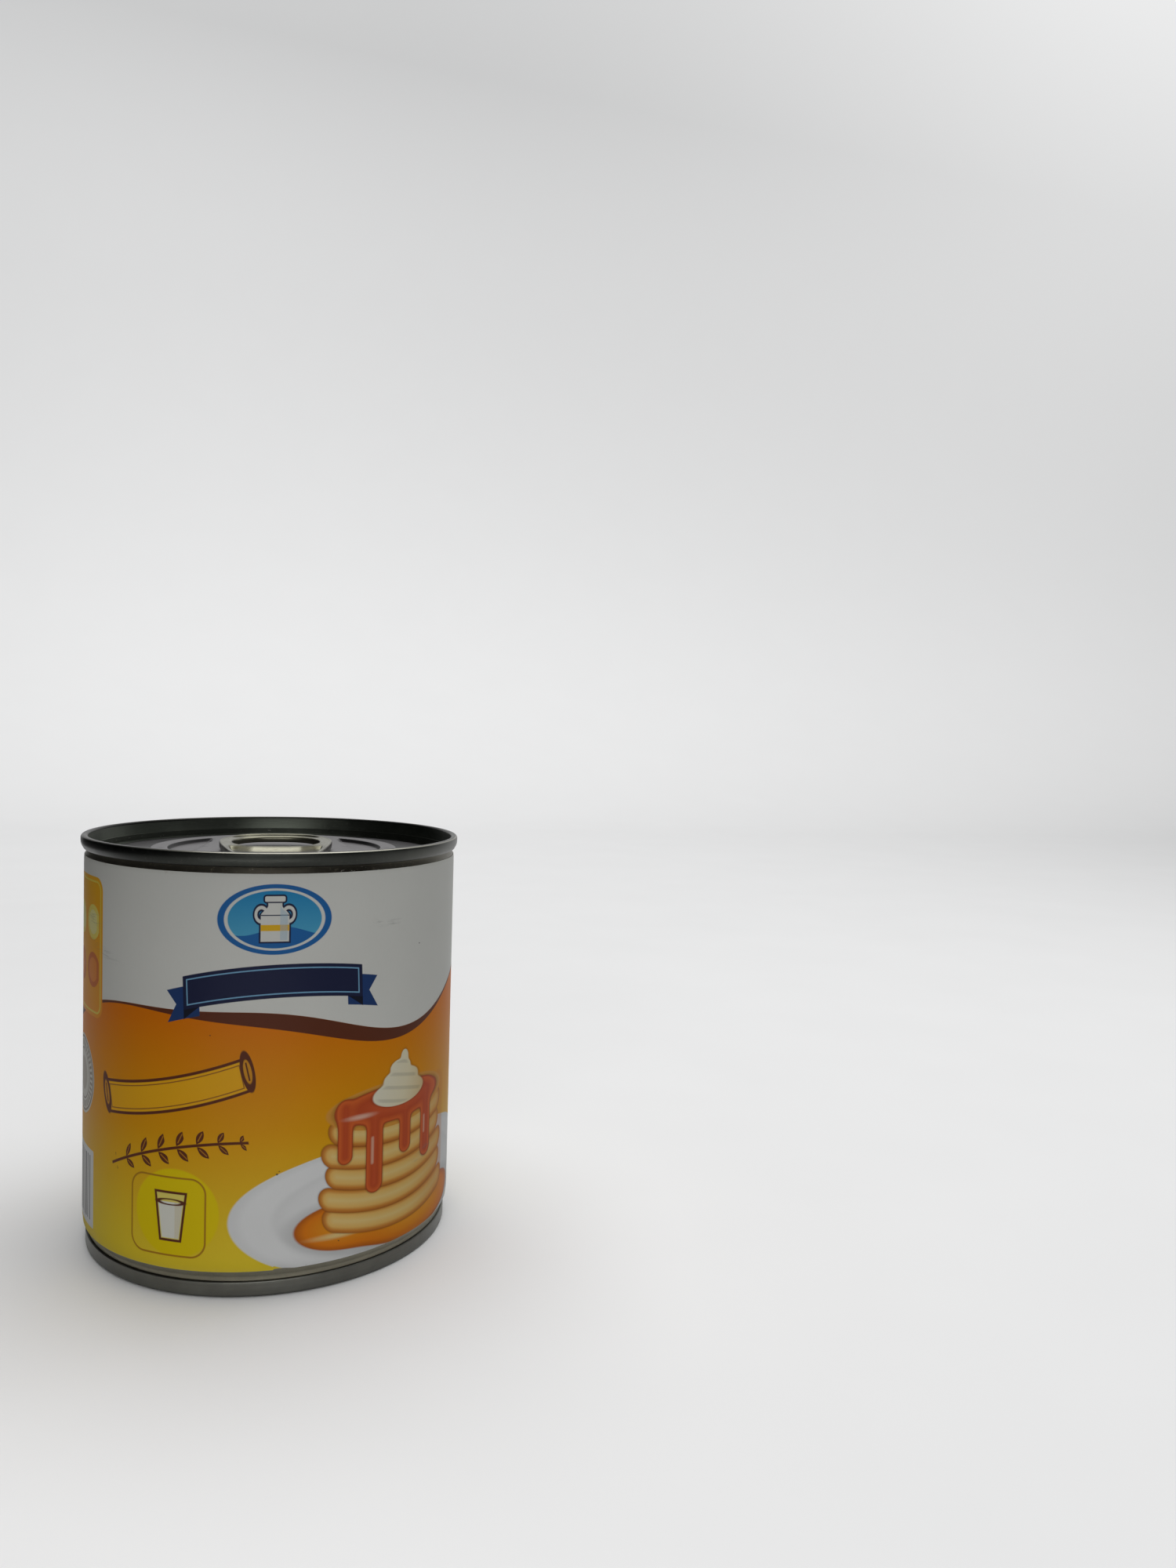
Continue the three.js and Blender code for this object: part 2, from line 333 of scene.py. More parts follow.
# %% The lid's satin panel
def panel_steel():
    finish = Finish("lid_panel_steel")
    (x, y, z), place = finish.place()
    _, _, up = finish.facing()
    mill = finish.noise(finish.vector(x * 0.25, y * 9.0, z), 1.0, 4.0, 0.6)
    cloud = finish.noise(place, 0.15, 3.0, 0.5)
    grain = finish.noise(place, 12.0, 2.0, 0.6)
    dust = finish.ramp(finish.noise(place, 2.2, 5.0, 0.75), 0.60, 0.78)
    outer = finish.ramp((x * x + y * y) ** 0.5, 25.0, 26.2)
    # Darker steep walls: lacquer gathered there, and painted shade.
    steep = finish.ramp(up, 0.97, 0.80)
    shade = (mill * 0.26 + cloud * 0.25 + grain * 0.16 + 0.65) * (1.0 - outer * 0.68)
    base = finish.times((0.135, 0.13, 0.133), shade * (1.0 - steep * 0.72))
    finish.feed("Base Color", finish.mix(dust * (0.35 - outer * 0.3), base, (0.26, 0.25, 0.22)))
    finish.feed("Roughness", mill * 0.12 + grain * 0.08 + 0.38 + dust * 0.12)
    finish.feed("Metallic", 0.95 - dust * 0.3)
    finish.bump(mill * 0.5 + grain * 0.5, 0.016)
    return finish.material


PANEL_STEEL = panel_steel()
print("lid metal:", PANEL_STEEL.name)

# %% [markdown]
# ## The wall and its necks
# The can's wall is one drawn tube. Only its two necks show, above and below the label: the top one
# turns in under the seam, and the bottom one is drawn in further, so that cans stack. The whole
# wall is turned in one profile, because it is one piece. It stays closed top and bottom, and a socket
# at each end leaves room for the end that plugs into it.

# %% Turn the wall
SEAM_GAP = 0.06
TOP_NECK_R = WALL_R - 0.25
BOTTOM_SEAM_TOP = 2.9
BOTTOM_NECK_R = WALL_R - 0.92
TOP_SOCKET_R = 35.3
BOTTOM_SOCKET_R = 34.7
SOCKET_GAP = 0.1


def wall_profile():
    low, high = LABEL_LOW, LABEL_HIGH
    foot = BOTTOM_SEAM_TOP + SEAM_GAP
    inside_low, inside_high = BASE_PLUG + SOCKET_GAP, SEAM_FOOT - SOCKET_GAP
    return [
        (0, inside_low), (BOTTOM_SOCKET_R, inside_low), (BOTTOM_SOCKET_R, foot), (BOTTOM_NECK_R, foot),
        (BOTTOM_NECK_R, foot + 0.5),
        (BOTTOM_NECK_R + 0.12, foot + 0.95),
        (BOTTOM_NECK_R + 0.40, foot + 1.4),
        (WALL_R - 0.30, low - 0.15),
        (WALL_R - 0.08, low + 0.35),
        (WALL_R, low + 1.0),
        (WALL_R, high - 0.6),
        (WALL_R - 0.03, high - 0.1),
        (TOP_NECK_R + 0.09, high + 0.35),
        (TOP_NECK_R + 0.02, high + 0.75),
        (TOP_NECK_R, high + 1.0),
        (TOP_NECK_R, WALL_TOP), (TOP_SOCKET_R, WALL_TOP), (TOP_SOCKET_R, inside_high), (0, inside_high),
    ]


wall = make_piece(turned(wall_profile()), "tin_wall", [NECK_TIN])
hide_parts("can_body")

# %% [markdown]
# ## The bottom end
# The bottom seam is the same fold as the top one. Inside it the plain end has a deep groove and
# two low rings that let it bulge without harm. Nothing is on it but its pressed rings.

# %% Turn the bottom end
SEAM_WIDTH = 1.25
SEAM_ROUND = 0.55
BOTTOM_PANEL = 2.6


def ring_bead(radius, height, rise, half_width):
    """A round rib pressed into a flat panel, as profile points."""
    return [(radius - half_width, height), (radius - half_width / 2, height - rise * 0.8),
            (radius, height - rise), (radius + half_width / 2, height - rise * 0.8),
            (radius + half_width, height)]


def bottom_profile():
    inner = BASE_R - SEAM_WIDTH
    top = BOTTOM_SEAM_TOP
    return [
        (0, BOTTOM_PANEL),
        *ring_bead(22.4, BOTTOM_PANEL, 0.45, 1.6),
        *ring_bead(28.6, BOTTOM_PANEL, 0.45, 1.6),
        *arc(inner - 2.3, BOTTOM_PANEL + 0.45, 0.45, -90, -20, 4),
        *arc(inner - 1.05, BOTTOM_PANEL + 0.35, 0.75, 160, 20, 8),
        (inner - 0.2, BOTTOM_PANEL - 0.6),
        *arc(inner + SEAM_ROUND, SEAM_ROUND, SEAM_ROUND, 180, 270),
        *arc(BASE_R - SEAM_ROUND, SEAM_ROUND, SEAM_ROUND, 270, 360),
        (BASE_R, top - 0.6),
        *arc(BASE_R - 0.22, top - 0.22, 0.22, 0, 90, 5),
        (inner - 0.1, top),
        (inner - 0.1, BASE_PLUG - 0.1),
        (0, BASE_PLUG - 0.1),
    ]


bottom = make_piece(turned(bottom_profile()), "bottom_seam_and_end", [SEAM_STEEL])
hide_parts("bottom_end")

# %% [markdown]
# ## The ring-pull end
# The lid is pressed from one sheet: a rounded seam, a leaning wall, a sink at its foot and a panel
# with low relief. The turned profile gives the round forms. The rest isn't round: two crescents
# beside the tab, a flat well for the tab's nose and a few stamped nicks. They are made by moving
# the panel's vertices up and down by a formula, as the press does, instead of by cutting.

# %% The lid's sizes
SINK_DEPTH = 4.6
PANEL_DEPTH = 3.9
DISC_DEPTH = 2.95
MIDDLE_DEPTH = 3.15
DISC_R = 24.9
CRESCENT_R = 21.2
CRESCENT_DEPTH = 0.78
SCORE_R = 31.2
WALL_FOOT_R = 35.1
SINK_R = 34.35
PANEL_R = 33.3
WELL_HALF_WIDTH = 9.8
WELL_START = 13.6
NICKS = [(14.1, 1.5, 1.1, 0.35, 28, 0.16), (22.4, -2.4, 1.4, 0.45, 30, 0.22)]


def panel_radii():
    """Radii of the panel's rings of vertices: closer together where the relief is steep."""
    plain = [0.45 * i for i in range(1, int(PANEL_R / 0.45))]
    crescents = [CRESCENT_R - 0.7 + 0.12 * i for i in range(8)]
    disc = [DISC_R - 0.9 + 0.15 * i for i in range(12)]
    score = [SCORE_R + 0.12 * i for i in range(-3, 4)]
    return sorted(set(plain + crescents + disc + score))


def nick(x, y, length, width, lean, depth):
    """Depth of a small stamped nick at a point that is given from its middle."""
    c, s = math.cos(math.radians(lean)), math.sin(math.radians(lean))
    along, across = x * c + y * s, y * c - x * s
    return depth * math.exp(-((along / length) ** 2) * 3 - ((across / width) ** 2) * 3)


def panel_depth(x, y):
    """Depth of the pressed panel below the rim at a point, in millimetres."""
    radius = math.hypot(x, y)
    side = abs(x)
    raised = 1 - ease(radius, DISC_R - 0.8, DISC_R + 0.7)
    well = ease(-y, WELL_START, WELL_START + 1.6)
    well *= 1 - ease(side, WELL_HALF_WIDTH - 0.6, WELL_HALF_WIDTH + 0.8)
    depth = PANEL_DEPTH - (PANEL_DEPTH - DISC_DEPTH) * raised * (1 - well)
    middle = (1 - ease(radius, 11.0, 20.0)) * (1 - well)
    depth += (MIDDLE_DEPTH - DISC_DEPTH) * middle
    inner_edge = 15.2 + 0.265 * max(-4.0, min(9.0, 6.3 - y))
    softness = 1.2 + 1.8 * ease(8.0 - y, 0.0, 9.0)
    crescent = 1 - ease(radius, CRESCENT_R - 0.40, CRESCENT_R)
    crescent *= ease(side, inner_edge - softness, inner_edge) * ease(y, -16.0, -11.0)
    depth += CRESCENT_DEPTH * crescent
    depth += 0.10 * math.exp(-(((radius - SCORE_R) / 0.16) ** 2))
    for nick_x, nick_y, *size in NICKS:
        depth += nick(side - nick_x, y - nick_y, *size)
    return depth


# %% Turn the lid and press its panel
def lid_profile():
    inner = SEAM_R - 1.3
    foot = RIM - 2.6
    return [
        (0, SEAM_FOOT), (WALL_FOOT_R, SEAM_FOOT), (WALL_FOOT_R, foot), (SEAM_R - 0.75, foot),
        *arc(SEAM_R - 0.75, foot + 0.35, 0.35, -90, -50, 4),
        (SEAM_R - 0.34, foot + 0.40),
        (SEAM_R - 0.16, foot + 0.75),
        (SEAM_R - 0.04, foot + 1.2),
        (SEAM_R, foot + 1.6),
        *arc(SEAM_R - 0.55, RIM - 0.55, 0.55, 0, 90),
        *arc(inner + 0.42, RIM - 0.42, 0.42, 90, 185),
        (WALL_FOOT_R + 0.04, RIM - 3.6),
        *arc(SINK_R, RIM - SINK_DEPTH + 0.72, 0.72, 0, -180, 12),
        *arc(PANEL_R - 0.15, RIM - PANEL_DEPTH - 0.30, 0.30, 5, 90, 5),
        *[(radius, RIM - PANEL_DEPTH) for radius in reversed(panel_radii()) if radius < PANEL_R - 0.2],
        (0, RIM - PANEL_DEPTH),
    ]


lid = turned(lid_profile())
for vertex in lid.verts:
    flat = Vector((vertex.co.x, vertex.co.y)).length / MM
    if flat < PANEL_R - 0.18 and vertex.co.z / MM > SEAM_FOOT + 0.5:
        vertex.co.z = (RIM - panel_depth(vertex.co.x / MM, vertex.co.y / MM)) * MM
for face in lid.faces:
    centre = face.calc_center_median() / MM
    if centre.xy.length < PANEL_R + 0.3:
        face.material_index = 1
    elif centre.xy.length < SEAM_R - 1.2 and RIM - SINK_DEPTH - 0.1 < centre.z < RIM - 0.5:
        face.material_index = 2
lid = make_piece(lid, "lid_and_seam", [SEAM_STEEL, PANEL_STEEL, WALL_LACQUER], 60)
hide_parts("top_end", "top_seam")

# %% [markdown]
# ## The pull tab
# The tab is one strip of steel with its edges curled under, so that no cut edge meets a finger.
# Its ring is broad and flat at the sides, rolled at the finger end, and behind the hole a deep
# roll runs down to the nose. A ring of vertices is placed on the outer edge and extruded along the
# section again and again until it comes back to itself. The operator copies each vertex's share of
# the way round, which tells where its copy belongs.

# %% The tab's outlines and levels
TAB_OUTER = [(0, 6.1), (5.2, 5.5), (8.5, 3.1), (10.8, -1.9), (10.9, -6.2), (9.8, -12.4),
             (8.2, -19.0), (5.4, -26.2), (0, -28.6)]
TAB_HOLE = [(0, 1.5), (3.4, 1.2), (6.3, -0.4), (8.2, -3.4), (8.5, -6.2), (7.2, -9.2),
            (5.0, -10.7), (2.5, -11.3), (0, -11.4)]
TAB_THICK = 1.35
TAB_DEPTH_FINGER = 0.8
TAB_DEPTH_NOSE = 2.35
TAB_STATIONS = 224
TAB_INNER_POINTS = 44
RIVET_Y = -21.5


def closed_curve(half):
    """A smooth closed curve through a half outline and its mirror image, as a function of share."""
    left = [(-x, y) for x, y in reversed(half[1:-1])]
    points = [Vector(p) for p in [*half, *left]]

    def at(share):
        place = (share % 1.0) * len(points)
        index = int(place)
        before, start, end, after = (points[(index + i) % len(points)] for i in (-1, 0, 1, 2))
        t = place - index
        return 0.5 * (2 * start + (end - before) * t
                      + (2 * before - 5 * start + 4 * end - after) * t ** 2
                      + (3 * start - before - 3 * end + after) * t ** 3)
    return at


def tab_top(y):
    """Height of the tab's top above the floor: it falls evenly from the finger end to the nose."""
    share = (TAB_OUTER[0][1] - y) / (TAB_OUTER[0][1] - TAB_OUTER[-1][1])
    return RIM - TAB_DEPTH_FINGER - (TAB_DEPTH_NOSE - TAB_DEPTH_FINGER) * share


def tab_section(width, corner):
    """The rail's section as (distance from the outer edge, height), round from the lower edge."""
    flat = [i / (TAB_INNER_POINTS + 1) for i in range(1, TAB_INNER_POINTS + 1)]
    run = width - 2 * corner
    return [
        *arc(corner, corner, corner, -90, -180, 4),
        *arc(corner, TAB_THICK - corner, corner, 180, 90, 6),
        *[(corner + run * share, TAB_THICK) for share in flat],
        *arc(width - corner, TAB_THICK - corner, corner, 90, 0, 6),
        *arc(width - corner, corner, corner, 0, -90, 4),
        *[(width - corner - run * share, 0) for share in flat[::6]],
    ]


def tab_dish(x, y, from_outer, from_hole):
    """How far the tab's top is pressed down at a point: the groove, the roll and the rivet's island."""
    finger = ease(y, -0.5, 2.5)
    groove = ease(from_outer, 0.75, 1.35) * ease(from_hole, 0.95, 1.5) * 0.62 * finger
    side = 0.08 * ease(from_outer, 0.3, 0.6) * ease(from_hole, 0.3, 0.6)
    roll = ease(from_hole, 0.25, 3.1) * ease(from_outer, 1.0, 2.2) * ease(-y, 9.6, 11.8)
    from_rivet = math.hypot(x, y - RIVET_Y)
    slot = math.exp(-(((from_rivet - 4.7) / 0.34) ** 2)) * ease(y - RIVET_Y, -3.2, -2.2) * 0.35
    return max(groove, side, 0.88 * roll + slot * roll)


# %% Loft the tab
def tab_mesh():
    outer, hole = closed_curve(TAB_OUTER), closed_curve(TAB_HOLE)

    def place(share, index):
        start, end = outer(share), hole(share)
        width = (end - start).length
        corner = 0.30 + 0.32 * ease(start.y, -1.0, 3.0) + 0.25 * ease(-start.y, 13.0, 19.0)
        inward, up = tab_section(width, corner)[index]
        x, y = start + (end - start) * (inward / width)
        if up >= TAB_THICK:
            up -= tab_dish(x, y, inward, width - inward)
        elif up <= 0:
            up += 0.42 * tab_dish(x, y, inward, width - inward)
        return Vector((x, y, tab_top(y) - TAB_THICK + up)) * MM

    bm = bmesh.new()
    along = bm.verts.layers.float.new("along")
    ring = [bm.verts.new(place(i / TAB_STATIONS, 0)) for i in range(TAB_STATIONS)]
    for i, vertex in enumerate(ring):
        vertex[along] = i / TAB_STATIONS
    first = [bm.edges.new((ring[i - 1], ring[i])) for i in range(TAB_STATIONS)]
    edges = first
    for index in range(1, len(tab_section(width=4.0, corner=0.4))):
        made = bmesh.ops.extrude_edge_only(bm, edges=edges)["geom"]
        copies = {item for item in made if isinstance(item, bmesh.types.BMVert)}
        made_edges = [item for item in made if isinstance(item, bmesh.types.BMEdge)]
        edges = [edge for edge in made_edges if copies.issuperset(edge.verts)]
        for vertex in copies:
            vertex.co = place(vertex[along], index)
    bmesh.ops.bridge_loops(bm, edges=edges + first)
    bmesh.ops.recalc_face_normals(bm, faces=bm.faces)
    return bm


# %% [markdown]
# The tab is bare steel with a faint warm tint, scratched where fingers and other cans rub it. It is
# darker towards the finger end, and a little grime lies on it in patches. Painted shade darkens the
# flanks, the crease behind the hole, and the ends and outer corners of the roll behind the hole.

# %% The tab's steel
def tab_steel():
    finish = Finish("tab_steel", metallic=1.0)
    (x, y, z), place = finish.place()
    sideways, _, _ = finish.facing()
    scratches = finish.noise(finish.vector(x * 0.6 + y * 0.2, y * 5.0 - x * 2.0, z * 3.0), 2.0, 5.0, 0.7)
    cloud = finish.noise(place, 0.5, 4.0, 0.6)
    grain = finish.noise(place, 14.0, 3.0, 0.6)
    rubbed = finish.ramp(scratches, 0.58, 0.72)
    grime = finish.ramp(finish.noise(place, 1.1, 5.0, 0.7), 0.56, 0.70)
    shade = scratches * 0.25 + cloud * 0.3 + grain * 0.14 + 0.62
    base = finish.times((0.188, 0.182, 0.138), shade)
    base = finish.mix(finish.ramp(y, -2.5, 2.5) * 0.45, base, (0.085, 0.083, 0.055))
    worn = finish.mix(rubbed * 0.35, base, (0.28, 0.275, 0.235))
    bar = finish.ramp(y, -9.5, -11.0) * finish.ramp(y, -16.5, -14.5)
    # Painted shade at both ends of the roll behind the hole and at its outer corners.
    roll_end_shade = bar * finish.ramp(abs(abs(x) - 6.3) + (cloud - 0.5) * 3.0, 2.2, 0.9)
    roll_corner_shade = bar * finish.ramp(abs(abs(x) - 8.3), 1.4, 0.9)
    worn = finish.mix(roll_corner_shade * 0.72, worn, (0.10, 0.097, 0.065))
    # Painted shade on the tab's flanks, which face sideways.
    flank_shade = finish.ramp(abs(sideways), 0.42, 0.75) * finish.ramp(abs(x), 7.6, 8.6)
    worn = finish.mix(flank_shade * 0.85, worn, (0.03, 0.028, 0.02))
    # A painted shadow along the crease behind the hole.
    crease_shadow = finish.ramp(abs(y + 11.55 - x * x * 0.024), 0.30, 0.10) * finish.ramp(abs(x), 7.6, 6.6)
    worn = finish.mix(finish.most(roll_end_shade * 0.9, crease_shadow * 0.8), worn, (0.026, 0.023, 0.009))
    finish.feed("Base Color", finish.mix(grime * 0.35, worn, (0.09, 0.08, 0.05)))
    finish.feed("Roughness", cloud * 0.18 + grain * 0.12 + 0.18 + grime * 0.2)
    finish.bump(scratches * 0.5 + grain * 0.5, 0.014)
    return finish.material


TAB_STEEL = tab_steel()
tab = make_piece(tab_mesh(), "ring_pull_tab", [TAB_STEEL], 50)
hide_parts("pull_tab")

# %% [markdown]
# The rivet is drawn up out of the lid's own sheet and flattened over the tab, so it has no separate
# shank: a low cone, a short stem and a flat button with a dimple. Its button sits at the tab's height
# there.

# %% The rivet
def rivet_mesh():
    foot = RIM - 3.85
    plate = tab_top(RIVET_Y) - 0.88
    button = plate + 0.12
    bm = turned([
        (0, foot - 0.25), (4.6, foot - 0.25), (4.6, foot), (3.9, foot + 0.12), (2.9, foot + 0.55),
        (2.2, foot + 0.75), (2.2, button), (3.0, button),
        *arc(3.0, button + 0.25, 0.25, -70, 80, 6),
        (2.4, button + 0.55), (1.9, button + 0.5), (1.3, button + 0.28), (0, button + 0.22),
    ], 64)
    bmesh.ops.translate(bm, verts=bm.verts, vec=(0, RIVET_Y * MM, 0))
    return bm


rivet = make_piece(rivet_mesh(), "lid_rivet", [PANEL_STEEL], 35)

# %% [markdown]
# ## The paper label
# The label is a printed sheet glued round the wall with a lap at the back. A flat grid is bent
# round the can, and each vertex keeps its place on the flat sheet as a UV in millimetres, so that
# the print can be designed as on the flat. The sheet doesn't lie perfectly: its lower edge drifts a
# little, one small fold shows at the front, and it has a faint swell.

# %% Bend the label round the wall
PAPER = 0.1
LAP = 9.0
FOLD_U = 0.6
TURN_LENGTH = math.tau * LABEL_R
SHEET_LENGTH = TURN_LENGTH + LAP
SHEET_HEIGHT = LABEL_HIGH - LABEL_LOW


def label_radius(u, v):
    """The outer radius of the paper at a place on the flat sheet."""
    half = TURN_LENGTH / 2
    swell = 0.03 * noise.noise(Vector((math.cos(u / LABEL_R) * 2, math.sin(u / LABEL_R) * 2, v * 0.03)))
    tuck = 0.16 * (1 - ease(v, LABEL_LOW, LABEL_LOW + 1.6))
    top_tuck = 0.06 * ease(v, LABEL_HIGH - 1.0, LABEL_HIGH)
    lap = (PAPER + 0.02) * ease(u, half - LAP * 0.5 - 2.0, half - LAP * 0.5)
    fold = 0.07 * math.exp(-(((u - FOLD_U) / 0.35) ** 2))
    fold *= 1 - ease(v, LABEL_LOW + 0.8, LABEL_LOW + 1.8)
    return LABEL_R - 0.06 + swell - tuck - top_tuck + lap + fold


def lower_edge(u):
    """Height of the label's cut lower edge: it climbs a little to the right, past the small fold."""
    step = ease(u, FOLD_U - 0.1, FOLD_U + 0.1) * (1 - ease(u, FOLD_U + 1.6, FOLD_U + 4.0))
    return LABEL_LOW - 0.04 + 0.13 * math.sin(u / LABEL_R * 0.9) + 0.22 * step


def near_fold(edge):
    """Whether an edge of the grid runs along the sheet and lies near the fold."""
    start, end = (vertex.co.x * SHEET_LENGTH for vertex in edge.verts)
    return abs(start - end) > 0.001 and abs((start + end) / 2 - FOLD_U) < 1.6


def label_mesh():
    bm = bmesh.new()
    bmesh.ops.create_grid(bm, x_segments=440, y_segments=110, size=0.5)
    fine = [edge for edge in bm.edges if near_fold(edge)]
    bmesh.ops.subdivide_edges(bm, edges=fine, cuts=3, use_grid_fill=True)
    sheet = bm.loops.layers.uv.new("print")
    for face in bm.faces:
        for loop in face.loops:
            along, share = loop.vert.co.x, loop.vert.co.y + 0.5
            loop[sheet].uv = (along * SHEET_LENGTH, LABEL_LOW + share * SHEET_HEIGHT)
    for vertex in bm.verts:
        u = vertex.co.x * SHEET_LENGTH
        share = vertex.co.y + 0.5
        v = LABEL_LOW + share * SHEET_HEIGHT + (lower_edge(u) - LABEL_LOW) * (1 - share) ** 9
        angle = u / LABEL_R
        radius = label_radius(u, v)
        vertex.co = Vector((math.sin(angle) * radius, -math.cos(angle) * radius, v)) * MM
    bmesh.ops.recalc_face_normals(bm, faces=bm.faces)
    front = Vector((0, -LABEL_R, 40)) * MM
    middle = min(bm.faces, key=lambda face: (face.calc_center_median() - front).length)
    if middle.normal.y > 0:
        bmesh.ops.reverse_faces(bm, faces=bm.faces)
    bmesh.ops.solidify(bm, geom=bm.faces, thickness=PAPER * MM)
    return bm


# %% [markdown]
# ## The print
# The print is drawn with distances, the way a cutter plots it: each shape is a signed distance in
# millimetres on the flat sheet, negative inside, and a narrow ramp at zero turns it into a mask.
# Layers are laid over each other from the ground up, as on a press. It is a plain stock design:
# a white field over a warm one, a milk churn, blank banners and a plate of pancakes.

# %% Shapes on the flat sheet
WHITE = (0.71, 0.71, 0.665)
BROWN = (0.105, 0.028, 0.012)
NAVY = (0.010, 0.0135, 0.044)
BLUE = (0.018, 0.13, 0.38)
LIGHT_BLUE = (0.02, 0.24, 0.50)
GOLD = (0.79, 0.46, 0.02)
INK_EDGE = 0.07


class Print(Finish):
    """A finish drawn on the label's flat sheet, layer over layer."""

    def __init__(self, name, **settings):
        super().__init__(name, **settings)
        sheet = self.node("UVMap", {"uv_map": "print"}, {})
        parts = self.node("SeparateXYZ", {}, {0: sheet.outputs[0]})
        self.u = Value(self, parts.outputs[0])
        self.v = Value(self, parts.outputs[1])
        self.colour = WHITE

    def local(self, u, v, turn=0.0):
        """Coordinates about a point of the sheet, turned by an angle in degrees."""
        c, s = math.cos(math.radians(turn)), math.sin(math.radians(turn))
        x, y = self.u - u, self.v - v
        if turn == 0.0:
            return x, y
        return x * c + y * s, y * c - x * s

    def ellipse(self, x, y, half_width, half_height):
        """A fair distance to an ellipse about the origin, negative inside."""
        scaled_x, scaled_y = x / half_width, y / half_height
        return ((scaled_x * scaled_x + scaled_y * scaled_y) ** 0.5 - 1.0) * min(half_width, half_height)

    def block(self, x, y, half_width, half_height, corner=0.0):
        """The distance to a rounded rectangle about the origin."""
        out_x = abs(x) - (half_width - corner)
        out_y = abs(y) - (half_height - corner)
        beyond_x, beyond_y = self.most(out_x, 0.0), self.most(out_y, 0.0)
        inside = self.least(self.most(out_x, out_y), 0.0)
        return (beyond_x * beyond_x + beyond_y * beyond_y) ** 0.5 + inside - corner

    def mask(self, distance, soft=INK_EDGE):
        return self.ramp(distance, soft, -soft)

    def merge(self, first, second, blend):
        """Two shapes as one, with a soft neck where they meet."""
        return self.math("SMOOTH_MIN", first, second, blend)

    def lay(self, mask, colour):
        """Prints a colour over what is there."""
        self.colour = self.mix(mask, self.colour, colour)

    def shade(self, mask, amount):
        """Darkens or lightens what is there by a factor where the mask is 1."""
        self.colour = self.times(self.colour, (amount - 1.0) * mask + 1.0)

    def ink(self, distance, colour, soft=INK_EDGE, share=None):
        """Prints a shape in a colour, or with only a share of it, so that the ground shows through."""
        mask = self.mask(distance, soft)
        self.lay(mask if share is None else mask * share, colour)

    def line(self, distance, half_width, colour):
        self.ink(abs(distance) - half_width, colour)

    def colours_along(self, value, stops):
        """A colour that changes smoothly with a value, through (value, colour) stops."""
        low, high = stops[0][0], stops[-1][0]
        made = self.node("ValToRGB", {}, {0: self.ramp(value, low, high, shape="LINEAR")})
        band = made.color_ramp
        for at, _ in stops[1:-1]:
            band.elements.new((at - low) / (high - low))
        for stop, (at, colour) in zip(band.elements, stops):
            stop.position = (at - low) / (high - low)
            stop.color = (*colour, 1.0)
        return made.outputs[0]


label_print = Print("label_print", Specular_IOR_Level=0.12)


def press(*layers):
    """Prints layers on the label, in order, and tells how far its material has grown."""
    for layer in layers:
        layer(label_print)
    print(f"{layers[-1].__name__} done: {len(label_print.tree.nodes)} nodes so far")

# %% [markdown]
# ### The two fields
# The sheet is white above and warm below, orange at the top of the warm field and yellow at its
# foot. A brown band swells and thins along the border. The border is a sum of waves that fit a
# whole number of times round the can, so that it meets itself at the lap.

# %% Print the fields
WAVE_HEIGHT = 50.4
FIELD_STOPS = [(4, (0.81, 0.62, 0.035)), (12, (0.80, 0.56, 0.028)), (30, (0.73, 0.325, 0.006)),
               (50, (0.71, 0.185, 0.003)), (60, (0.70, 0.162, 0.003))]


def print_fields(p):
    turn = p.u / LABEL_R
    wave = p.math("SINE", turn * 3.0 + 2.9) * 3.0 + p.math("SINE", turn * 5.0 + 0.6) * 1.3 + WAVE_HEIGHT
    band = p.math("SINE", turn * 3.0 + 0.9) * 1.35 + 1.75
    p.ink(p.v - wave, p.colours_along(p.v, FIELD_STOPS))
    p.ink(p.most(p.v - wave, wave - band - p.v), BROWN)


press(print_fields)

# %% [markdown]
# ### The plate of pancakes
# The picture is built like a paper cut-out, far things first: plate, syrup, five pancakes, caramel
# and a dollop of cream. A pancake is a rounded block whose middle line bows down, because the pile
# is seen from a little above. Its colour runs with the distance from its edge, brown to cream.

# %% Print the plate and the pile
DISH_U, DISH_V = 25.0, 14.0
PANCAKE_STEP = 4.1
PANCAKE_SHIFTS = (0.6, -0.5, 0.4, -0.7, 0.3)
PILE_HEIGHT = PANCAKE_STEP * len(PANCAKE_SHIFTS)
CARAMEL = (0.50, 0.075, 0.022)
DRIPS = [(-11.6, 8.0, 1.5), (-5.4, 13.5, 1.9), (2.2, 7.5, 1.6), (8.8, 11.0, 1.8)]
DRIP_GLINTS = [(-5.9, -8.0, 0.28, 2.6), (8.3, -6.6, 0.24, 1.8)]
CREAM_TURNS = [(0.3, 2.5, 4.7, 2.1, 0.7), (-0.1, 4.7, 2.7, 1.6, 0.7), (0.9, 6.5, 1.0, 1.4, 0.9)]


